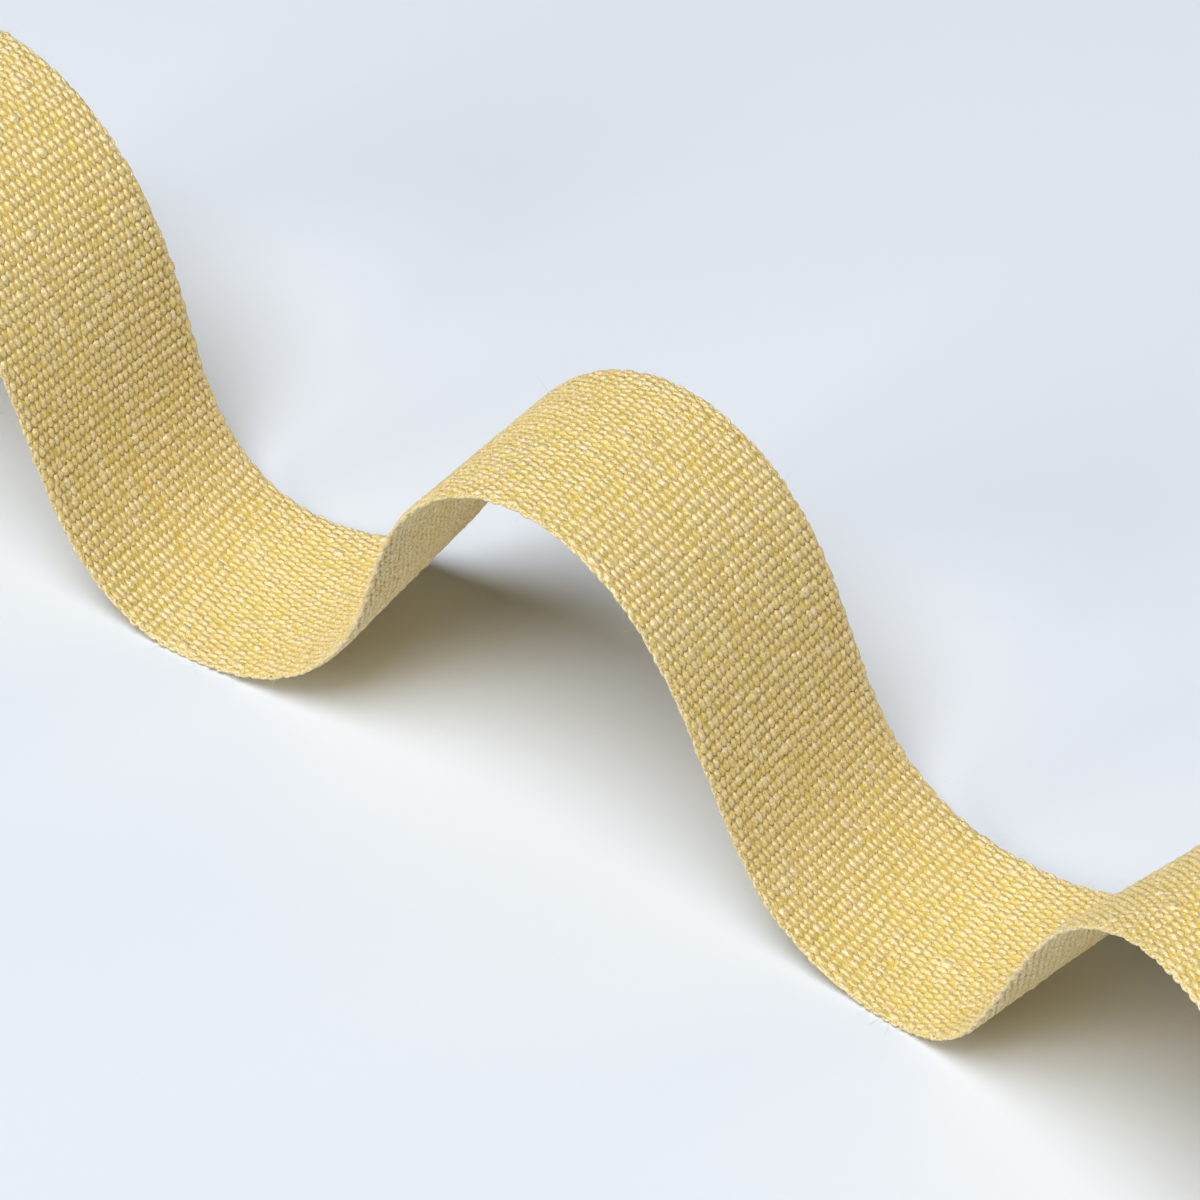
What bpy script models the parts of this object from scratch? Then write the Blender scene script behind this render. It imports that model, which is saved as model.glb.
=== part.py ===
"""A cut length of woven linen tape that stands on its edges in three loose waves.

The tape is one solid. Its middle line is worked out from two short tables, one for how it rises and
falls and one for how it turns and leans, and a rounded strip is laid along that line. Where the tape
meets the table it is pressed flat. +X runs along the tape, +Y is its far edge and +Z is up.
"""

import bpy
import numpy as np

MM = 0.001

TAPE_WIDTH_MM = 20.0
TAPE_THICKNESS_MM = 1.0
EDGE_ROUNDING_MM = 0.3
SECTION_STEP_MM = 1.5
STRIPS_ACROSS = 8
CREST_HEIGHT_MM = 33.1

# How the tape rises and falls: distance along it from the middle crest, and its slope there.
WAVE_COLUMNS = ("station_mm", "slope_deg")
WAVE_ROWS = (
    (-168.0, 0.0),
    (-159.0, 0.0),
    (-152.0, 22.3),
    (-145.0, 53.0),
    (-138.0, 70.3),
    (-130.0, 72.1),
    (-119.0, 53.6),
    (-107.0, 10.5),
    (-96.0, -28.5),
    (-86.0, -57.0),
    (-77.0, -72.5),
    (-69.0, -71.4),
    (-61.0, -49.9),
    (-53.0, -10.2),
    (-43.0, 22.9),
    (-32.0, 55.3),
    (-22.0, 71.0),
    (-13.0, 56.6),
    (-3.0, 21.9),
    (7.0, -22.1),
    (17.0, -54.8),
    (27.0, -67.9),
    (36.0, -60.5),
    (45.0, -28.4),
    (55.0, 8.3),
    (65.0, 49.6),
    (75.0, 62.6),
    (86.0, 54.4),
    (96.0, 26.0),
    (106.0, -21.3),
    (121.5, -64.6),
    (129.0, -66.4),
    (136.0, -52.6),
    (142.0, -29.5),
    (148.0, -9.5),
    (154.0, 0.0),
    (168.0, 0.0),
)

# How the tape turns on the table and leans to a side, at stations of their own.
TURN_COLUMNS = ("station_mm", "heading_deg", "lean_deg")
TURN_ROWS = (
    (-168.0, -8.0, 0.0),
    (-130.0, -7.6, -0.1),
    (-108.0, -6.4, 1.4),
    (-86.0, -2.6, 1.8),
    (-67.0, -0.3, -1.1),
    (-46.0, 3.8, 0.7),
    (-25.0, 3.1, -0.2),
    (-4.0, 0.4, -2.8),
    (17.0, -1.2, -1.7),
    (37.0, -0.9, -2.8),
    (48.0, -0.9, 0.2),
    (58.0, -7.0, 3.8),
    (69.0, -16.5, 4.5),
    (82.0, -18.0, 2.8),
    (121.5, -15.5, 0.9),
    (155.0, -15.0, 0.0),
    (168.0, -15.0, 0.0),
)

LINEN_COLOUR = (0.66, 0.49, 0.19, 1.0)


def column(rows, columns, name):
    """One named column of a table, as an array."""
    at = columns.index(name)
    return np.array([row[at] for row in rows])


def smooth(stations, values, at):
    """A smooth curve through a table's values, read off at the distances in at.

    Between two rows with the same value it stays level.
    """
    slopes = np.gradient(values, stations)
    level = np.diff(values) == 0
    slopes[:-1][level] = 0.0
    slopes[1:][level] = 0.0
    i = np.clip(np.searchsorted(stations, at, side="right") - 1, 0, len(stations) - 2)
    span = stations[i + 1] - stations[i]
    u = np.clip((at - stations[i]) / span, 0.0, 1.0)
    start = (1 + 2 * u) * (1 - u) ** 2 * values[i] + u * (1 - u) ** 2 * span * slopes[i]
    end = u * u * (3 - 2 * u) * values[i + 1] - u * u * (1 - u) * span * slopes[i + 1]
    return start + end


def middle_line():
    """Points along the tape's middle, its direction across the width and its upward normal."""
    wave_at = column(WAVE_ROWS, WAVE_COLUMNS, "station_mm")
    turn_at = column(TURN_ROWS, TURN_COLUMNS, "station_mm")
    fine = np.linspace(wave_at[0], wave_at[-1], 1345)
    slope = np.radians(smooth(wave_at, column(WAVE_ROWS, WAVE_COLUMNS, "slope_deg"), fine))
    heading = np.radians(smooth(turn_at, column(TURN_ROWS, TURN_COLUMNS, "heading_deg"), fine))
    lean = np.radians(smooth(turn_at, column(TURN_ROWS, TURN_COLUMNS, "lean_deg"), fine))
    along = np.stack(
        [np.cos(slope) * np.cos(heading), np.cos(slope) * np.sin(heading), np.sin(slope)], axis=1
    )
    level = np.stack([-np.sin(heading), np.cos(heading), np.zeros_like(heading)], axis=1)
    square = np.cross(along, level)
    across = np.cos(lean)[:, None] * level + np.sin(lean)[:, None] * square
    steps = (along[1:] + along[:-1]) / 2 * np.diff(fine)[:, None]
    line = np.concatenate([np.zeros((1, 3)), np.cumsum(steps, axis=0)])
    crest = int(np.argmin(np.abs(fine)))
    line = line - line[crest] + np.array([0.0, 0.0, CREST_HEIGHT_MM])
    return fine, line, across, np.cross(along, across)


def cross_section():
    """The strip's outline, as (distance across, distance above the middle), in order round it."""
    half_width = TAPE_WIDTH_MM / 2
    half_thick = TAPE_THICKNESS_MM / 2
    inner = half_width - EDGE_ROUNDING_MM
    edge = half_thick - EDGE_ROUNDING_MM
    across = np.linspace(-inner, inner, STRIPS_ACROSS + 1)
    top = [(v, half_thick) for v in across]
    bottom = [(v, -half_thick) for v in across[::-1]]
    return np.array([(-half_width, edge)] + top + [(half_width, edge), (half_width, -edge)] + bottom
                    + [(-half_width, -edge)])


def tape_points():
    """The rings of points of the tape, one ring for each section, in millimetres."""
    fine, line, across, normal = middle_line()
    count = int(round((fine[-1] - fine[0]) / SECTION_STEP_MM)) + 1
    pick = np.round(np.linspace(0, len(fine) - 1, count)).astype(int)
    outline = cross_section()
    rings = (
        line[pick][:, None]
        + across[pick][:, None] * outline[None, :, 0:1]
        + normal[pick][:, None] * outline[None, :, 1:2]
    )
    rings[..., 2] = np.maximum(rings[..., 2], 0.0)
    low = rings.reshape(-1, 3).min(axis=0)
    high = rings.reshape(-1, 3).max(axis=0)
    rings[..., 0] -= (low[0] + high[0]) / 2
    rings[..., 1] -= (low[1] + high[1]) / 2
    return rings


def linen_material():
    """Matt yellow linen."""
    material = bpy.data.materials.new("linen")
    material.use_nodes = True
    shader = material.node_tree.nodes["Principled BSDF"]
    shader.inputs["Base Color"].default_value = LINEN_COLOUR
    shader.inputs["Roughness"].default_value = 0.9
    return material


def build_tape(collection):
    """The one solid, closed at both cut ends."""
    rings = tape_points()
    count, around = rings.shape[:2]
    faces = []
    for i in range(count - 1):
        for j in range(around):
            k = (j + 1) % around
            a = i * around
            b = a + around
            faces.append((a + j, a + k, b + k, b + j))
    faces.append(tuple(range(around))[::-1])
    faces.append(tuple(range((count - 1) * around, count * around)))
    mesh = bpy.data.meshes.new("tape")
    mesh.from_pydata((rings.reshape(-1, 3) * MM).tolist(), [], faces)
    mesh.validate()
    tape = bpy.data.objects.new("tape", mesh)
    collection.objects.link(tape)
    mesh.materials.append(linen_material())
    bpy.context.view_layer.objects.active = tape
    tape.select_set(True)
    bpy.ops.object.mode_set(mode="EDIT")
    bpy.ops.mesh.select_all(action="SELECT")
    bpy.ops.mesh.normals_make_consistent(inside=False)
    bpy.ops.object.mode_set(mode="OBJECT")
    return tape


def main():
    for item in list(bpy.data.objects):
        bpy.data.objects.remove(item)
    scene = bpy.context.scene
    scene.unit_settings.system = "METRIC"
    scene.unit_settings.scale_length = 1.0
    collection = bpy.data.collections.new("linen tape trim")
    scene.collection.children.link(collection)
    build_tape(collection)


main()
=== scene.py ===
"""The linen tape's visual model: every warp end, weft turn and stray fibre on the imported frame."""

import math

import bpy
import numpy as np
from mathutils import Matrix, Vector


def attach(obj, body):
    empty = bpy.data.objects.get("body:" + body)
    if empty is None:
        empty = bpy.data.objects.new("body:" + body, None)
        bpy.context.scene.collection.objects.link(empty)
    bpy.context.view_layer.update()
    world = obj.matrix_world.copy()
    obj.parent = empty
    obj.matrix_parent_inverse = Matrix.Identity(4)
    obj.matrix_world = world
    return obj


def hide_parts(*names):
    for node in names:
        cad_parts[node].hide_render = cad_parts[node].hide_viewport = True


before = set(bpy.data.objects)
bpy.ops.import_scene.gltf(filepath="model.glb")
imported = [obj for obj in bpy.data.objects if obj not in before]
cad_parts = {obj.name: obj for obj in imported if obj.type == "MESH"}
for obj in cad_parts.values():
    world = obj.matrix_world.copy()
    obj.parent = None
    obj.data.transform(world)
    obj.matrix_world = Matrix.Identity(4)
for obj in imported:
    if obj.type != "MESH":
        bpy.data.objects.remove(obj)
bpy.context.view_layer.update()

bl_info = {
    "name": "Linen tape trim",
    "version": (1, 0, 0),
    "blender": (4, 5, 0),
    "location": "3D View > Sidebar > Linen tape",
    "description": "Weaves a wavy length of warp-faced linen tape on its frame",
    "category": "Add Mesh",
}

MM = 0.001
PHOTO_PIXELS = 1200
SENSOR_MM = 36.0

# How the tape rises and falls: distance along it from the middle crest, and its slope there.
WAVE_COLUMNS = ("station_mm", "slope_deg")
WAVE_ROWS = (
    (-168.0, 0.0),
    (-159.0, 0.0),
    (-152.0, 22.3),
    (-145.0, 53.0),
    (-138.0, 70.3),
    (-130.0, 72.1),
    (-119.0, 53.6),
    (-107.0, 10.5),
    (-96.0, -28.5),
    (-86.0, -57.0),
    (-77.0, -72.5),
    (-69.0, -71.4),
    (-61.0, -49.9),
    (-53.0, -10.2),
    (-43.0, 22.9),
    (-32.0, 55.3),
    (-22.0, 71.0),
    (-13.0, 56.6),
    (-3.0, 21.9),
    (7.0, -22.1),
    (17.0, -54.8),
    (27.0, -67.9),
    (36.0, -60.5),
    (45.0, -28.4),
    (55.0, 8.3),
    (65.0, 49.6),
    (75.0, 62.6),
    (86.0, 54.4),
    (96.0, 26.0),
    (106.0, -21.3),
    (121.5, -64.6),
    (129.0, -66.4),
    (136.0, -52.6),
    (142.0, -29.5),
    (148.0, -9.5),
    (154.0, 0.0),
    (168.0, 0.0),
)

# How the tape turns on the table and leans to a side, at stations of their own.
TURN_COLUMNS = ("station_mm", "heading_deg", "lean_deg")
TURN_ROWS = (
    (-168.0, -8.0, 0.0),
    (-130.0, -7.6, -0.1),
    (-108.0, -6.4, 1.4),
    (-86.0, -2.6, 1.8),
    (-67.0, -0.3, -1.1),
    (-46.0, 3.8, 0.7),
    (-25.0, 3.1, -0.2),
    (-4.0, 0.4, -2.8),
    (17.0, -1.2, -1.7),
    (37.0, -0.9, -2.8),
    (48.0, -0.9, 0.2),
    (58.0, -7.0, 3.8),
    (69.0, -16.5, 4.5),
    (82.0, -18.0, 2.8),
    (121.5, -15.5, 0.9),
    (155.0, -15.0, 0.0),
    (168.0, -15.0, 0.0),
)

# Soft round lights: name, then bearing, height and half the angle that each fills, in degrees,
# and its brightness and colour.
LIGHT_ROWS = (
    ("key", 276.0, 71.0, 18.0, 7.2, (0.985, 1.0, 1.015)),
    ("front_fill", 250.0, 25.0, 15.0, 4.4, (1.0, 0.92, 0.84)),
    ("back_fill", 40.0, 14.0, 14.0, 2.4, (1.0, 0.82, 0.62)),
)
LIGHT_DISTANCE = 1.5
SKY_COLOUR = (1.0, 0.96, 0.92, 1.0)
FLOOR_HALF_M = 6.0

# The point under the middle crest that the camera's place is measured from.
CAMERA_FROM_MM = (-4.085, 8.628, -0.093)

# The middle crest's place, half the cut length, and how far the ends fray past the cut.
CREST_PLACE_MM = (-4.085, 8.628, 33.1)
HALF_LENGTH_MM = 168.0
FRAY_MM = (0.1, 1.3)

# The middle line is worked out in these steps, and goes on past the cut to make room for the fray.
FINE_STEP_MM = 0.25
FRAY_ROOM_MM = 3.0

# How the weft rows wander along the tape: size in mm, turn per mm along and across, and start.
DRIFT_ROWS = (
    (0.07, 0.19, 0.31, 0.4),
    (0.05, 0.43, -0.22, 2.1),
    (0.03, 1.07, 0.53, 4.0),
)
BOW_PER_MM = 0.0012
BOW_SQUARE_MM = 40.0

# How low the weft sheet and the yarns may reach above the surface that the tape lies on.
GROUND_CLEARANCE_MM = 0.03
YARN_CLEARANCE_MM = 0.01

# The weft sheet above its middle: over a pick, between two and at its ends, and how it thins at its edges.
RIDGE_MM = 0.19
DIP_MM = 0.05
GROUND_END_MM = 0.05
GROUND_EDGE_MM = 0.1
GROUND_EDGE_SHARE = 0.5
GROUND_STRIPS = 8

# How unevenly the yarns lie: picks and floats along the tape, ends and floats across it.
PICK_SPREAD_MM = 0.035
FLOAT_SPREAD_MM = 0.045
END_STRAY_MM = 0.022
FLOAT_STRAY_MM = 0.018
LIFT_SPREAD = 0.13

# How thick the yarns are: the range of a float, where an end dives, and how much of a lump goes into height.
LUMP_RANGE = (0.78, 1.25)
DIVE_THICKNESS = 0.86
LUMP_THICKENS = 0.4

# Thick places: how much a slub swells, lifts, and swells the floats next to it.
SLUB_SWELL = (0.25, 0.75)
SLUB_LIFT = 0.25
SLUB_SPREAD_TO_NEXT = 0.4

# How the tone differs between ends, along an end, between floats and on a slub.
END_TONE = 0.10
RUN_TONE = 0.09
FLOAT_TONE = 0.10
SLUB_TONE = 0.25

# How far the outermost end, the next one and all the others rise, as shares of the weave's rise.
RISE_AT_EDGE = (0.45, 0.75, 1.0)

# The weft's loop round the outermost end, between two picks.
LOOP_REACH_MM = 0.25
LOOP_REACH_SPREAD_MM = 0.03
LOOP_RADIUS_MM = 0.12
LOOP_RADIUS_SPREAD = 0.12
LOOP_HEIGHT_SPREAD_MM = 0.04
LOOP_TALLNESS = 1.15
LOOP_SHARE_OF_GAP = 0.82
LOOP_ROUNDNESS = 0.8
LOOP_RINGS = 7
LOOP_TAIL_MM = 0.5
LOOP_TONE = 0.80
LOOP_TONE_SPREAD = 0.15

# Stray fibres: the share at the selvedges, where the rest start, and how they lean, bend and taper.
FIBRES_AT_EDGE = 0.45
FIBRE_START_MM = 0.28
FIBRE_EDGE_SPREAD_MM = 0.2
FIBRE_LEAN = (0.9, 0.5, 0.3)
FIBRE_OUTWARD = 0.8
FIBRE_UPWARD = 0.55
FIBRE_CURL = 0.5
FIBRE_BEND = 0.6
FIBRE_TAPER = 0.75
FIBRE_LENGTHS = (0.2, 1.0)
FIBRE_LENGTH_POWER = 1.6
FIBRE_RINGS = 5
FIBRE_SIDES = 4
NO_FIBRES_WAY = (0.31, 0.52, 0.8)

# The fibre pattern's own coordinates: its twist along a yarn, and its step from one yarn to the next.
YARN_TWIST = 0.45
YARN_STEP = 3.7
LOOP_TWIST = 0.5
LOOP_STEP = 1.9
LOOP_RING_STEP = 0.25

# How much painted crown light and tone the selvedge turns and the stray fibres have, and how much lighter
# both are, added to the painted crown light.
LOOSE_CROWN_SHADING = 0.9
FIBRE_TONE = 0.8
LOOSE_LIFT = 0.1

# Rings of a warp end within one pick: place as a share of the pick's spacing, height, swell, tilt.
RING_COLUMNS = ("place", "height", "swell", "tilt")
RING_ROWS = (
    (-0.26, 0.95, 1.0, -0.4),
    (0.26, 0.95, 1.0, 0.4),
    (0.5, 0.0, 0.0, 1.0),
)
SIDES_OF_YARN = 6
WARP_PIECES = 5


def column(rows, columns, name):
    """One named column of a table, as an array."""
    at = columns.index(name)
    return np.array([row[at] for row in rows])


def smooth(stations, values, at):
    """A smooth curve through a table's values, level between two rows with the same value."""
    slopes = np.gradient(values, stations)
    level = np.diff(values) == 0
    slopes[:-1][level] = 0.0
    slopes[1:][level] = 0.0
    i = np.clip(np.searchsorted(stations, at, side="right") - 1, 0, len(stations) - 2)
    span = stations[i + 1] - stations[i]
    u = np.clip((at - stations[i]) / span, 0.0, 1.0)
    start = (1 + 2 * u) * (1 - u) ** 2 * values[i] + u * (1 - u) ** 2 * span * slopes[i]
    end = u * u * (3 - 2 * u) * values[i + 1] - u * u * (1 - u) * span * slopes[i + 1]
    return start + end


class TapeForm:
    """The tape's middle surface, from the same tables as its solid, a little longer at each end."""

    def __init__(self):
        self.first = -HALF_LENGTH_MM - FRAY_ROOM_MM
        count = int(round(-2 * self.first / FINE_STEP_MM)) + 1
        fine = self.first + FINE_STEP_MM * np.arange(count)
        wave_at = column(WAVE_ROWS, WAVE_COLUMNS, "station_mm")
        turn_at = column(TURN_ROWS, TURN_COLUMNS, "station_mm")
        slope = np.radians(smooth(wave_at, column(WAVE_ROWS, WAVE_COLUMNS, "slope_deg"), fine))
        heading = np.radians(smooth(turn_at, column(TURN_ROWS, TURN_COLUMNS, "heading_deg"), fine))
        lean = np.radians(smooth(turn_at, column(TURN_ROWS, TURN_COLUMNS, "lean_deg"), fine))
        along = np.stack(
            [np.cos(slope) * np.cos(heading), np.cos(slope) * np.sin(heading), np.sin(slope)], axis=1
        )
        flat = np.stack([-np.sin(heading), np.cos(heading), np.zeros(count)], axis=1)
        self.across = np.cos(lean)[:, None] * flat + np.sin(lean)[:, None] * np.cross(along, flat)
        self.normal = np.cross(along, self.across)
        steps = (along[1:] + along[:-1]) / 2 * FINE_STEP_MM
        line = np.concatenate([np.zeros((1, 3)), np.cumsum(steps, axis=0)])
        self.line = line - line[int(np.argmin(np.abs(fine)))] + np.array(CREST_PLACE_MM)

    def points(self, along, across, height, lowest):
        """World points in metres, from distances in millimetres along, across and above the middle."""
        along, across, height = np.broadcast_arrays(along, across, height)
        place = np.clip((along - self.first) / FINE_STEP_MM, 0, len(self.line) - 1.001)
        i = place.astype(int)
        share = (place - i)[..., None]
        line = self.line[i] * (1 - share) + self.line[i + 1] * share
        side = self.across[i] * (1 - share) + self.across[i + 1] * share
        up = self.normal[i] * (1 - share) + self.normal[i + 1] * share
        found = line + side * across[..., None] + up * height[..., None]
        found[..., 2] = np.maximum(found[..., 2], lowest)
        return found * MM


def row_drift(along, across):
    """How far the weft rows stray along the tape, in millimetres, a slow wander and a slight bow."""
    drift = 0.0
    for size, per_along, per_across, start in DRIFT_ROWS:
        drift = drift + size * np.sin(per_along * along + per_across * across + start)
    return drift + BOW_PER_MM * (across**2 - BOW_SQUARE_MM)


def soft_noise(rng, shape, reach):
    """Random numbers about 0 with spread 1, smoothed along the last axis over reach steps."""
    raw = rng.normal(size=(*shape[:-1], shape[-1] + 4 * reach))
    window = np.hanning(4 * reach + 3)[1:-1]
    window /= np.sqrt((window**2).sum())
    rows = raw.reshape(-1, raw.shape[-1])
    out = np.stack([np.convolve(row, window, mode="valid") for row in rows])
    return out.reshape(shape)


def mesh_object(name, points, faces, values, material):
    """A smooth-shaded piece from arrays of points, of faces, and of named values per point."""
    mesh = bpy.data.meshes.new(name)
    points = points.reshape(-1, 3)
    mesh.vertices.add(len(points))
    mesh.vertices.foreach_set("co", np.ascontiguousarray(points, dtype=np.float32).ravel())
    mesh.loops.add(faces.size)
    mesh.loops.foreach_set("vertex_index", np.ascontiguousarray(faces, dtype=np.int32).ravel())
    mesh.polygons.add(len(faces))
    mesh.polygons.foreach_set("loop_start", np.arange(0, faces.size, faces.shape[1], dtype=np.int32))
    mesh.update(calc_edges=True)
    mesh.shade_smooth()
    for key, value in values.items():
        kind, field = ("FLOAT_VECTOR", "vector") if value.ndim == 2 else ("FLOAT", "value")
        layer = mesh.attributes.new(key, kind, "POINT")
        layer.data.foreach_set(field, value.astype(np.float32).ravel())
    mesh.materials.append(material)
    piece = bpy.data.objects.new(name, mesh)
    bpy.context.scene.collection.objects.link(piece)
    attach(piece, "root")
    return piece


def tube_faces(strands, rings, sides):
    """Quads of closed tubes, strand by strand, with a quad fan closing each end."""
    ring = np.arange(rings - 1)[:, None] * sides
    j = np.arange(sides)[None, :]
    k = (j + 1) % sides
    quads = np.stack([ring + j, ring + k, ring + sides + k, ring + sides + j], axis=-1).reshape(-1, 4)
    fans = []
    for first, order in ((0, 1), ((rings - 1) * sides, -1)):
        for n in range(1, sides - 1, 2):
            fan = [first, first + n, first + n + 1, first + (n + 2) % sides]
            fans.append(fan[::-1] if order == 1 else fan)
    one = np.concatenate([quads, np.array(fans)])
    starts = np.arange(strands)[:, None, None] * rings * sides
    return (one[None] + starts).reshape(-1, 4)


class Sock:
    """A node socket whose arithmetic adds Math nodes."""

    def __init__(self, graph, socket):
        self.graph = graph
        self.socket = socket

    def _math(self, operation, *values):
        return self.graph.node("ShaderNodeMath", {"operation": operation}, dict(enumerate(values)))

    def __add__(self, other):
        return self._math("ADD", self, other)

    __radd__ = __add__

    def __sub__(self, other):
        return self._math("SUBTRACT", self, other)

    def __rsub__(self, other):
        return self._math("SUBTRACT", other, self)

    def __mul__(self, other):
        return self._math("MULTIPLY", self, other)

    __rmul__ = __mul__

    def clamped(self):
        """The value, held between 0 and 1."""
        return self._math("MINIMUM", self._math("MAXIMUM", self, 0.0), 1.0)


class Graph:
    """One material's node tree."""

    def __init__(self, name):
        self.material = bpy.data.materials.new(name)
        self.material.use_nodes = True
        self.tree = self.material.node_tree
        self.shader = self.tree.nodes["Principled BSDF"]

    def put(self, socket, value):
        """Sets a socket to a number or colour, or links it."""
        if isinstance(value, Sock):
            self.tree.links.new(value.socket, socket)
        else:
            socket.default_value = value

    def node(self, kind, settings=None, values=None, out=0):
        """A node of a type, its settings first, then the values or links of its sockets."""
        made = self.tree.nodes.new(kind)
        for key, value in (settings or {}).items():
            setattr(made, key, value)
        for key, value in (values or {}).items():
            self.put(made.inputs[key], value)
        return Sock(self, made.outputs[out])

    def mix(self, share, first, second):
        """Two colours mixed by a share, which is held between 0 and 1."""
        return self.node(
            "ShaderNodeMix",
            {"data_type": "RGBA", "blend_type": "MIX", "clamp_factor": True},
            {0: share, 6: first, 7: second},
            out=2,
        )

    def noise(self, vector, scale, detail, roughness):
        """A noise value from 0 to 1 at that scale."""
        return self.node(
            "ShaderNodeTexNoise",
            {"noise_dimensions": "3D"},
            {"Vector": vector, "Scale": scale, "Detail": detail, "Roughness": roughness},
        )

    def attribute(self, name, out):
        """A named value of the mesh: 1 for a vector, 2 for a number."""
        return self.node("ShaderNodeAttribute", {"attribute_name": name}, {}, out=out)

    def scaled(self, vector, by):
        """A vector times a vector, part by part."""
        return self.node("ShaderNodeVectorMath", {"operation": "MULTIPLY"}, {0: vector, 1: by})

    def finish(self, colour, roughness, normal=None, **constants):
        """Feeds the shader, sets its constants and gives the material."""
        self.put(self.shader.inputs["Base Color"], colour)
        self.put(self.shader.inputs["Roughness"], roughness)
        if normal is not None:
            self.put(self.shader.inputs["Normal"], normal)
        for key, value in constants.items():
            self.shader.inputs[key.replace("_", " ")].default_value = value
        return self.material


def yarn_material(colours, name, lift=0.0):
    """Spun linen: glossy crowns with painted light on them, painted shade in the deeper yellow where a yarn
    dives, painted glints, fine twisted fibre streaks.
    """
    graph = Graph(name)
    place = graph.node("ShaderNodeTexCoord", {}, {}, out=3)
    yarn = graph.attribute("yarn", 1)
    crown_shading = graph.attribute("crown_shading", 2)
    tone = graph.attribute("tone", 2)
    streak = graph.noise(graph.scaled(yarn, (1.1, 9.0, 1.0)), 1.0, 3.0, 0.65)
    mottle = graph.noise(place, 90.0, 3.0, 0.6)
    fleck = graph.noise(place, 2600.0, 1.0, 0.5)
    glint = graph.noise(place, 5200.0, 1.0, 0.5)
    # Painted light and shade: a float's crown is mixed towards the body colour, and where an end dives
    # between floats towards the deep colour as painted shade; lift adds painted light.
    share = (crown_shading * 0.75 + 0.12 + lift + (streak - 0.5) * 0.5).clamped()
    colour = graph.mix(share, colours.deep_and_gap_shade, colours.body)
    colour = graph.mix((tone - 0.5) * 0.9, colour, colours.pale)
    colour = graph.mix((0.5 - tone) * 0.8, colour, colours.deep_and_gap_shade)
    colour = graph.mix((mottle - 0.5) * 0.5, colour, colours.pale)
    # Painted glints: pale where the fine noise is high, deeper where it is low.
    colour = graph.mix((glint - 0.5) * 6.0, colour, colours.pale)
    colour = graph.mix((0.5 - glint) * 5.0, colour, colours.deep_and_gap_shade)
    colour = graph.mix((fleck - 0.66) * 1.6, colour, colours.rust)
    bump = graph.node(
        "ShaderNodeBump",
        {},
        {"Height": streak * 0.5 + glint * 0.5, "Strength": 1.0, "Distance": 0.00012},
    )
    return graph.finish(
        colour,
        0.34 + glint * 0.26,
        bump,
        IOR=1.85,
        Specular_IOR_Level=1.0,
        Sheen_Weight=0.25,
        Sheen_Roughness=0.5,
        Sheen_Tint=(1.0, 0.97, 0.93, 1.0),
    )


def ground_material(colours):
    """The weft inside the tape, seen only in the gaps between warp ends."""
    graph = Graph("linen_weft")
    place = graph.node("ShaderNodeTexCoord", {}, {}, out=3)
    grain = graph.noise(place, 4000.0, 2.0, 0.6)
    colour = graph.mix(grain, colours.deep_and_gap_shade, colours.body)
    bump = graph.node("ShaderNodeBump", {}, {"Height": grain, "Strength": 0.5, "Distance": 0.00005})
    return graph.finish(colour, 0.6 + grain * 0.3, bump, Specular_IOR_Level=0.3)


def floor_material(colour):
    """Matt pale paper."""
    graph = Graph("pale_floor")
    return graph.finish(colour, 0.9, Specular_IOR_Level=0.1)


class WeaveSizes(bpy.types.PropertyGroup):
    """Sizes of the weave."""

    ends: bpy.props.IntProperty(name="Warp ends", description="Yarns along the tape", default=64, min=8)
    end_spacing: bpy.props.FloatProperty(
        name="End spacing", description="Distance between warp ends, in mm", default=0.304, min=0.05
    )
    pick_spacing: bpy.props.FloatProperty(
        name="Pick spacing", description="Distance between cross ribs, in mm", default=0.953, min=0.2
    )
    crown_half_width: bpy.props.FloatProperty(
        name="Crown half width",
        description="Half the width of a float on its crown, in mm",
        default=0.275,
    )
    dive_half_width: bpy.props.FloatProperty(
        name="Dive half width", description="Half the width of an end as it dives, in mm", default=0.12
    )
    half_thickness: bpy.props.FloatProperty(
        name="Half thickness", description="Half the thickness of an end, in mm", default=0.185
    )
    rise: bpy.props.FloatProperty(
        name="Rise",
        description="How far an end rises above the middle over a pick, in mm",
        default=0.165,
    )
    unevenness: bpy.props.FloatProperty(
        name="Unevenness",
        description="Spread of the spun yarn's thickness",
        default=0.13,
        min=0.0,
        max=0.3,
    )
    slub_share: bpy.props.FloatProperty(
        name="Slub share",
        description="Share of floats with a thick place",
        default=0.022,
        min=0.0,
        max=0.2,
    )
    seed: bpy.props.IntProperty(name="Seed", description="Seed of all unevenness", default=11)


class TapeColours(bpy.types.PropertyGroup):
    """Colours of the linen."""

    body: bpy.props.FloatVectorProperty(
        name="Body",
        description="Yarn on a crown",
        subtype="COLOR",
        size=4,
        default=(0.89, 0.66, 0.15, 1.0),
    )
    # The deep colour is deeper yarn and also the painted shade in the gaps between floats.
    deep_and_gap_shade: bpy.props.FloatVectorProperty(
        name="Deep",
        description="Yarn in the gaps",
        subtype="COLOR",
        size=4,
        default=(0.64, 0.50, 0.075, 1.0),
    )
    # The pale colour is also the colour of the painted glints.
    pale: bpy.props.FloatVectorProperty(
        name="Pale",
        description="The palest yarn",
        subtype="COLOR",
        size=4,
        default=(0.96, 0.81, 0.57, 1.0),
    )
    rust: bpy.props.FloatVectorProperty(
        name="Fleck",
        description="Specks of husk",
        subtype="COLOR",
        size=4,
        default=(0.55, 0.27, 0.05, 1.0),
    )


class FuzzSizes(bpy.types.PropertyGroup):
    """Sizes of the stray fibres."""

    count: bpy.props.IntProperty(
        name="Fibres", description="Number of stray fibres", default=2200, min=0
    )
    longest: bpy.props.FloatProperty(name="Longest", description="Longest fibre, in mm", default=1.6)
    radius: bpy.props.FloatProperty(
        name="Radius", description="Radius of a fibre, in mm", default=0.013
    )


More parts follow.
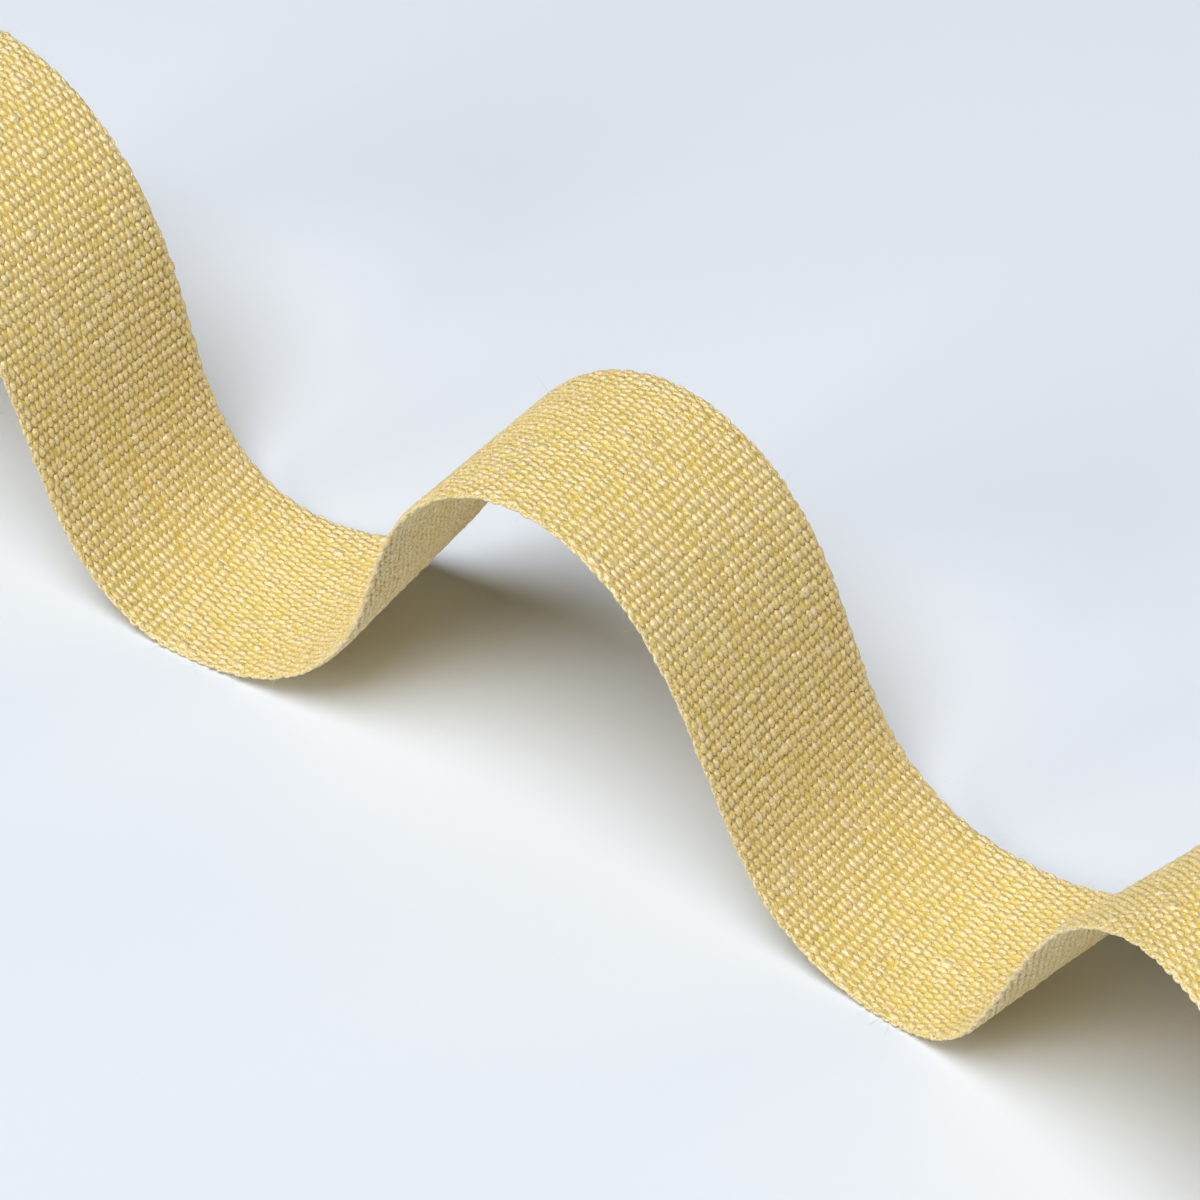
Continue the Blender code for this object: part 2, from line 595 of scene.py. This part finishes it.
class StageSettings(bpy.types.PropertyGroup):
    """Camera, light and floor."""

    elevation: bpy.props.FloatProperty(
        name="Elevation",
        description="Camera's angle above the horizon",
        subtype="ANGLE",
        default=0.748869,
    )
    azimuth: bpy.props.FloatProperty(
        name="Azimuth",
        description="Camera's turn about the vertical",
        subtype="ANGLE",
        default=0.675940,
    )
    roll: bpy.props.FloatProperty(
        name="Roll", description="Camera's turn about its own axis", subtype="ANGLE", default=-0.029916
    )
    focal_pixels: bpy.props.FloatProperty(
        name="Focal length", description="In pixels of a 1200 pixel picture", default=6236.7
    )
    place: bpy.props.FloatVectorProperty(
        name="Place",
        description="The point under the middle crest, seen from the camera: right, up, away, in mm",
        size=3,
        default=(-0.8413, -11.9809, 503.885),
    )
    floor_colour: bpy.props.FloatVectorProperty(
        name="Floor",
        description="Pale floor",
        subtype="COLOR",
        size=4,
        default=(0.775, 0.83, 0.905, 1.0),
    )
    brightness: bpy.props.FloatProperty(
        name="Brightness", description="Strength of all soft lights together", default=1.24, min=0.0
    )
    bounces: bpy.props.IntProperty(
        name="Bounces",
        description="How often light passes between the tape and the floor",
        default=12,
        min=1,
    )
    sky_strength: bpy.props.FloatProperty(
        name="Sky strength", description="Light from all round", default=0.03, min=0.0
    )


def pick_places(sizes):
    """Distances of the picks along the tape, slightly uneven, in millimetres."""
    rng = np.random.default_rng(sizes.seed + 1)
    count = int(round(2 * HALF_LENGTH_MM / sizes.pick_spacing))
    step = 2 * HALF_LENGTH_MM / count
    even = -HALF_LENGTH_MM + step * (np.arange(count) + 0.5)
    return even + PICK_SPREAD_MM * rng.normal(size=count), step


def warp_shape(sizes):
    """Along, across and height of every ring corner of every warp end, with its tone and its painted crown
    light.
    """
    rng = np.random.default_rng(sizes.seed)
    picks, step = pick_places(sizes)
    count = len(picks)
    ends = np.arange(sizes.ends)
    middle = (ends - (sizes.ends - 1) / 2) * sizes.end_spacing
    over = np.where((ends[:, None] + np.arange(count)[None, :]) % 2 == 0, 1.0, -1.0)
    floats = (sizes.ends, count)
    lump = 1.0 + sizes.unevenness * soft_noise(rng, floats, 3)
    lump += 0.5 * sizes.unevenness * rng.normal(size=floats)
    slub = (rng.random(floats) < sizes.slub_share) * rng.uniform(*SLUB_SWELL, floats)
    spread = slub.copy()
    spread[:, 1:] = np.maximum(spread[:, 1:], SLUB_SPREAD_TO_NEXT * slub[:, :-1])
    spread[:, :-1] = np.maximum(spread[:, :-1], SLUB_SPREAD_TO_NEXT * slub[:, 1:])
    lump = np.clip(lump, *LUMP_RANGE) + spread
    stray = END_STRAY_MM * soft_noise(rng, floats, 6)
    stray = stray + FLOAT_STRAY_MM * rng.normal(size=floats)
    lift = 1.0 + LIFT_SPREAD * rng.normal(size=floats)

    place, top, swell, lean = (column(RING_ROWS, RING_COLUMNS, name) for name in RING_COLUMNS)
    inward = np.minimum(ends, ends[::-1])
    settle = np.array(RISE_AT_EDGE)[np.minimum(inward, len(RISE_AT_EDGE) - 1)][:, None, None]
    along = picks[None, :, None] + place * step * lift[..., None]
    along = along + FLOAT_SPREAD_MM * rng.normal(size=(*floats, 1))
    height = over[..., None] * top * sizes.rise * settle * (lift + SLUB_LIFT * spread)[..., None]
    tilt = np.arctan(-over[..., None] * lean * settle * sizes.rise * np.pi / step)
    width = sizes.dive_half_width + (sizes.crown_half_width - sizes.dive_half_width) * swell
    half_width = width * lump[..., None]
    half_thick = sizes.half_thickness * (DIVE_THICKNESS + (1 - DIVE_THICKNESS) * swell)
    half_thick = half_thick * (1 + LUMP_THICKENS * (lump[..., None] - 1))
    across = (middle[:, None] + stray)[..., None] + np.zeros_like(along)
    # Painted crown light: 1 on a float's crown, 0 where the end dives between floats and the shader paints
    # shade there.
    crown_shading = np.broadcast_to(swell, along.shape)
    tone = 0.5 + END_TONE * rng.normal(size=(sizes.ends, 1, 1))
    tone = tone + RUN_TONE * soft_noise(rng, floats, 2)[..., None]
    tone = tone + FLOAT_TONE * rng.normal(size=(*floats, 1)) + SLUB_TONE * spread[..., None]
    tone = np.broadcast_to(tone, along.shape)

    rings = count * len(place)
    one_row = (sizes.ends, rings)
    along, across, height, tilt = (a.reshape(one_row) for a in (along, across, height, tilt))
    half_width, half_thick = half_width.reshape(one_row), half_thick.reshape(one_row)
    crown_shading, tone = crown_shading.reshape(one_row), tone.reshape(one_row)
    along = np.sort(along, axis=1)
    fray = rng.uniform(*FRAY_MM, (2, sizes.ends))
    along[:, 0] = -HALF_LENGTH_MM - fray[0]
    along[:, -1] = HALF_LENGTH_MM + fray[1]
    along = along + row_drift(along, across)
    angle = 2 * np.pi * (np.arange(SIDES_OF_YARN) + 0.5) / SIDES_OF_YARN
    sine = np.sin(angle) * half_thick[..., None]
    corners = {
        "along": along[..., None] - np.sin(tilt)[..., None] * sine,
        "across": across[..., None] + np.cos(angle) * half_width[..., None],
        "height": height[..., None] + np.cos(tilt)[..., None] * sine,
    }
    turn = np.broadcast_to(np.arange(SIDES_OF_YARN) / SIDES_OF_YARN, corners["along"].shape)
    length = np.broadcast_to(along[..., None], corners["along"].shape)
    which = np.broadcast_to(ends[:, None, None] * YARN_STEP, corners["along"].shape)
    yarn = np.stack([length, turn + YARN_TWIST * length, which], axis=-1)
    return corners, yarn, crown_shading, tone


class TAPE_OT_ground(bpy.types.Operator):
    """Adds the sheet inside the tape, with a low ridge along every pick."""

    bl_idname = "tape.ground"
    bl_label = "Ground sheet"

    def execute(self, context):
        sizes = context.scene.tape_weave
        picks = pick_places(sizes)[0]
        between = (picks[1:] + picks[:-1]) / 2
        along = np.sort(np.concatenate([picks, between, [-HALF_LENGTH_MM, HALF_LENGTH_MM]]))
        ridge = np.full(len(along), DIP_MM)
        ridge[1::2] = RIDGE_MM
        ridge[[0, -1]] = GROUND_END_MM
        half = (sizes.ends - 1) / 2 * sizes.end_spacing
        side = np.linspace(-half, half, GROUND_STRIPS + 1)
        across = np.concatenate([side, side[::-1]])
        sign = np.repeat([1.0, -1.0], len(side))
        thinner = np.where(np.abs(across) > half - GROUND_EDGE_MM, GROUND_EDGE_SHARE, 1.0)
        height = sign * ridge[:, None] * thinner
        shifted = along[:, None] + row_drift(along[:, None], across)
        points = TapeForm().points(shifted, across, height, GROUND_CLEARANCE_MM)
        material = ground_material(context.scene.tape_colours)
        piece = mesh_object("tape_ground", points, tube_faces(1, *points.shape[:2]), {}, material)
        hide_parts("tape")
        return {"FINISHED"}


class TAPE_OT_warp(bpy.types.Operator):
    """Adds the warp ends, each one yarn that goes over one pick and under the next."""

    bl_idname = "tape.warp"
    bl_label = "Warp ends"

    def execute(self, context):
        sizes = context.scene.tape_weave
        corners, yarn, crown_shading, tone = warp_shape(sizes)
        form = TapeForm()
        material = yarn_material(context.scene.tape_colours, "linen_warp")
        for n, group in enumerate(np.array_split(np.arange(sizes.ends), WARP_PIECES)):
            run = (corners[key][group] for key in ("along", "across", "height"))
            points = form.points(*run, YARN_CLEARANCE_MM)
            values = {
                "yarn": yarn[group].reshape(-1, 3),
                "crown_shading": np.repeat(crown_shading[group].ravel(), SIDES_OF_YARN),
                "tone": np.repeat(tone[group].ravel(), SIDES_OF_YARN),
            }
            mesh_object(f"warp_ends_{n + 1}", points, tube_faces(*points.shape[:3]), values, material)
        return {"FINISHED"}


class TAPE_OT_selvedge(bpy.types.Operator):
    """Adds the weft's turns round the outermost warp ends, a low bead at every pick."""

    bl_idname = "tape.selvedge"
    bl_label = "Selvedge turns"

    def execute(self, context):
        sizes = context.scene.tape_weave
        rng = np.random.default_rng(sizes.seed + 2)
        picks = pick_places(sizes)[0]
        edge = (sizes.ends - 1) / 2 * sizes.end_spacing
        turn = np.radians(np.linspace(-90, 90, LOOP_RINGS))
        side = np.repeat([1.0, -1.0], len(picks) - 1)
        middle = np.tile((picks[:-1] + picks[1:]) / 2, 2)
        half = np.tile((picks[1:] - picks[:-1]) / 2, 2)
        reach = LOOP_REACH_MM + LOOP_REACH_SPREAD_MM * rng.normal(size=len(side))
        along = middle[:, None] + half[:, None] * np.sin(turn) * LOOP_SHARE_OF_GAP
        out = edge + reach[:, None] * np.cos(turn) ** LOOP_ROUNDNESS
        along = np.concatenate([along[:, :1], along, along[:, -1:]], axis=1)
        first, last = out[:, :1] - LOOP_TAIL_MM, out[:, -1:] - LOOP_TAIL_MM
        out = np.concatenate([first, out, last], axis=1)
        height = LOOP_HEIGHT_SPREAD_MM * rng.normal(size=(len(side), 1)) * np.ones_like(out)
        across = side[:, None] * out
        along = along + row_drift(along, across)
        run = np.stack([along, across, height], axis=-1)
        direction = np.gradient(run, axis=1)
        direction /= np.linalg.norm(direction, axis=-1, keepdims=True)
        up = np.array([0.0, 0.0, 1.0])
        beside = np.cross(direction, up)
        radius = LOOP_RADIUS_MM * (1 + LOOP_RADIUS_SPREAD * rng.normal(size=(len(side), 1, 1, 1)))
        angle = 2 * np.pi * (np.arange(SIDES_OF_YARN) + 0.5) / SIDES_OF_YARN
        corner = (
            run[:, :, None]
            + beside[:, :, None] * np.cos(angle)[:, None] * radius
            + up * np.sin(angle)[:, None] * radius * LOOP_TALLNESS
        )
        points = TapeForm().points(corner[..., 0], corner[..., 1], corner[..., 2], YARN_CLEARANCE_MM)
        shape = points.shape[:3]
        strands, rings, sides = shape
        length = np.broadcast_to(np.arange(rings)[None, :, None] * LOOP_RING_STEP, shape)
        around = np.broadcast_to(np.arange(sides) / sides, shape)
        which = np.broadcast_to(np.arange(strands)[:, None, None] * LOOP_STEP, shape)
        tone = LOOP_TONE + LOOP_TONE_SPREAD * rng.normal(size=(strands, 1, 1))
        values = {
            "yarn": np.stack([length, around + LOOP_TWIST * length, which], axis=-1).reshape(-1, 3),
            "crown_shading": np.broadcast_to(LOOSE_CROWN_SHADING, shape).ravel(),
            "tone": np.broadcast_to(tone, shape).ravel(),
        }
        material = yarn_material(context.scene.tape_colours, "linen_selvedge", LOOSE_LIFT)
        mesh_object("selvedge_turns", points, tube_faces(*shape), values, material)
        return {"FINISHED"}


class TAPE_OT_fuzz(bpy.types.Operator):
    """Adds short stray fibres on both faces and along the selvedges."""

    bl_idname = "tape.fuzz"
    bl_label = "Stray fibres"

    def execute(self, context):
        sizes = context.scene.tape_weave
        fuzz = context.scene.tape_fuzz
        rng = np.random.default_rng(sizes.seed + 3)
        count = fuzz.count
        half = sizes.ends / 2 * sizes.end_spacing
        at_edge = rng.random(count) < FIBRES_AT_EDGE
        side = np.sign(rng.normal(size=count))
        along = rng.uniform(-HALF_LENGTH_MM, HALF_LENGTH_MM, count)
        across = np.where(at_edge, side * half, rng.uniform(-half, half, count))
        edge_heights = (-FIBRE_EDGE_SPREAD_MM, FIBRE_EDGE_SPREAD_MM)
        height = np.where(at_edge, rng.uniform(*edge_heights, count), side * FIBRE_START_MM)
        away = np.stack([rng.normal(size=count) * lean for lean in FIBRE_LEAN], axis=1)
        away[:, 1] += np.where(at_edge, side * FIBRE_OUTWARD, 0.0)
        away[:, 2] += np.where(at_edge, 0.0, side * FIBRE_UPWARD)
        away /= np.linalg.norm(away, axis=1, keepdims=True)
        curl = rng.normal(size=(count, 3)) * FIBRE_CURL
        length = fuzz.longest * rng.uniform(*FIBRE_LENGTHS, count) ** FIBRE_LENGTH_POWER
        steps = np.linspace(0, 1, FIBRE_RINGS)
        start = np.stack([along, across, height], axis=1)
        run = (
            start[:, None]
            + away[:, None] * length[:, None, None] * steps[:, None]
            + curl[:, None] * length[:, None, None] * steps[:, None] ** 2 * FIBRE_BEND
        )
        one = np.cross(away, NO_FIBRES_WAY)
        one /= np.linalg.norm(one, axis=1, keepdims=True)
        two = np.cross(away, one)
        angle = 2 * np.pi * np.arange(FIBRE_SIDES) / FIBRE_SIDES
        taper = (1 - FIBRE_TAPER * steps)[:, None, None] * fuzz.radius
        one, two = one[:, None, None], two[:, None, None]
        around = one * np.cos(angle)[:, None] + two * np.sin(angle)[:, None]
        corner = run[:, :, None] + around * taper
        points = TapeForm().points(corner[..., 0], corner[..., 1], corner[..., 2], YARN_CLEARANCE_MM)
        total = points.size // 3
        values = {
            "yarn": rng.random((total, 3)),
            "crown_shading": np.full(total, LOOSE_CROWN_SHADING),
            "tone": np.full(total, FIBRE_TONE),
        }
        material = yarn_material(context.scene.tape_colours, "linen_fibre", LOOSE_LIFT)
        mesh_object("stray_fibres", points, tube_faces(*points.shape[:3]), values, material)
        return {"FINISHED"}


class TAPE_OT_declare(bpy.types.Operator):
    """A step that does nothing."""

    bl_idname = "tape.declare"
    bl_label = "Declare sheet"

    def execute(self, context):
        return {"FINISHED"}


class TAPE_OT_stage(bpy.types.Operator):
    """Adds the pale floor, the soft lights and the camera."""

    bl_idname = "tape.stage"
    bl_label = "Stage"

    def execute(self, context):
        scene = context.scene
        settings = scene.tape_stage
        mesh = bpy.data.meshes.new("floor")
        signs = ((-1, -1), (1, -1), (1, 1), (-1, 1))
        corners = [(x * FLOOR_HALF_M, y * FLOOR_HALF_M, 0) for x, y in signs]
        mesh.from_pydata(corners, [], [(0, 1, 2, 3)])
        mesh.materials.append(floor_material(settings.floor_colour))
        floor = bpy.data.objects.new("floor", mesh)
        scene.collection.objects.link(floor)

        world = bpy.data.worlds.new("soft_sky")
        world.use_nodes = True
        sky = world.node_tree.nodes["Background"]
        sky.inputs["Color"].default_value = SKY_COLOUR
        sky.inputs["Strength"].default_value = settings.sky_strength
        scene.world = world

        for name, azimuth, elevation, half_angle, radiance, colour in LIGHT_ROWS:
            azimuth, elevation = math.radians(azimuth), math.radians(elevation)
            towards = Vector(
                (
                    math.cos(elevation) * math.cos(azimuth),
                    math.cos(elevation) * math.sin(azimuth),
                    math.sin(elevation),
                )
            )
            radius = LIGHT_DISTANCE * math.tan(math.radians(half_angle))
            data = bpy.data.lights.new(name, "AREA")
            data.shape = "DISK"
            data.size = 2 * radius
            data.color = colour
            # The power with which a disk of this radius shines at this radiance.
            data.energy = radiance * math.pi * math.pi * radius**2 * settings.brightness
            lamp = bpy.data.objects.new(name, data)
            lamp.location = towards * LIGHT_DISTANCE
            lamp.rotation_euler = (-towards).to_track_quat("-Z", "Y").to_euler()
            scene.collection.objects.link(lamp)

        right = np.array([math.cos(settings.azimuth), math.sin(settings.azimuth), 0.0])
        level = np.array([-math.sin(settings.azimuth), math.cos(settings.azimuth), 0.0])
        sine, cosine = math.sin(settings.elevation), math.cos(settings.elevation)
        away = cosine * level - sine * np.array([0, 0, 1.0])
        upward = sine * level + cosine * np.array([0, 0, 1.0])
        turn, tip = math.cos(settings.roll), math.sin(settings.roll)
        across, up = turn * right + tip * upward, -tip * right + turn * upward
        px, py, pz = settings.place
        centre = -px * across - py * up - pz * away + np.array(CAMERA_FROM_MM)
        data = bpy.data.cameras.new("camera")
        data.sensor_width = SENSOR_MM
        data.lens = settings.focal_pixels * SENSOR_MM / PHOTO_PIXELS
        data.clip_start = 0.01
        data.clip_end = 20.0
        camera = bpy.data.objects.new("camera", data)
        camera.matrix_world = Matrix(
            (
                (across[0], up[0], -away[0], centre[0] * MM),
                (across[1], up[1], -away[1], centre[1] * MM),
                (across[2], up[2], -away[2], centre[2] * MM),
                (0, 0, 0, 1),
            )
        )
        scene.collection.objects.link(camera)
        scene.camera = camera
        scene.view_settings.view_transform = "Standard"
        scene.cycles.diffuse_bounces = settings.bounces
        return {"FINISHED"}


class TAPE_PT_panel(bpy.types.Panel):
    """Lists the steps and their sizes."""

    bl_idname = "TAPE_PT_panel"
    bl_label = "Linen tape"
    bl_space_type = "VIEW_3D"
    bl_region_type = "UI"
    bl_category = "Linen tape"

    def draw(self, context):
        for group in ("tape_weave", "tape_colours", "tape_fuzz", "tape_stage"):
            settings = getattr(context.scene, group)
            for key in settings.bl_rna.properties.keys():
                if key not in ("rna_type", "name"):
                    self.layout.prop(settings, key)
        for step in STEPS:
            self.layout.operator(step.bl_idname)


GROUPS = (
    ("tape_weave", WeaveSizes),
    ("tape_colours", TapeColours),
    ("tape_fuzz", FuzzSizes),
    ("tape_stage", StageSettings),
)
STEPS = (TAPE_OT_ground, TAPE_OT_warp, TAPE_OT_selvedge, TAPE_OT_fuzz, TAPE_OT_stage, TAPE_OT_declare)


def register():
    for name, group in GROUPS:
        bpy.utils.register_class(group)
        setattr(bpy.types.Scene, name, bpy.props.PointerProperty(type=group))
    for step in STEPS:
        bpy.utils.register_class(step)
    bpy.utils.register_class(TAPE_PT_panel)


def unregister():
    bpy.utils.unregister_class(TAPE_PT_panel)
    for step in reversed(STEPS):
        bpy.utils.unregister_class(step)
    for name, group in reversed(GROUPS):
        delattr(bpy.types.Scene, name)
        bpy.utils.unregister_class(group)


def main():
    register()
    bpy.ops.tape.ground()
    bpy.ops.tape.warp()
    bpy.ops.tape.selvedge()
    bpy.ops.tape.fuzz()
    bpy.ops.tape.stage()
    bpy.ops.tape.declare()


if __name__ == "__main__":
    main()
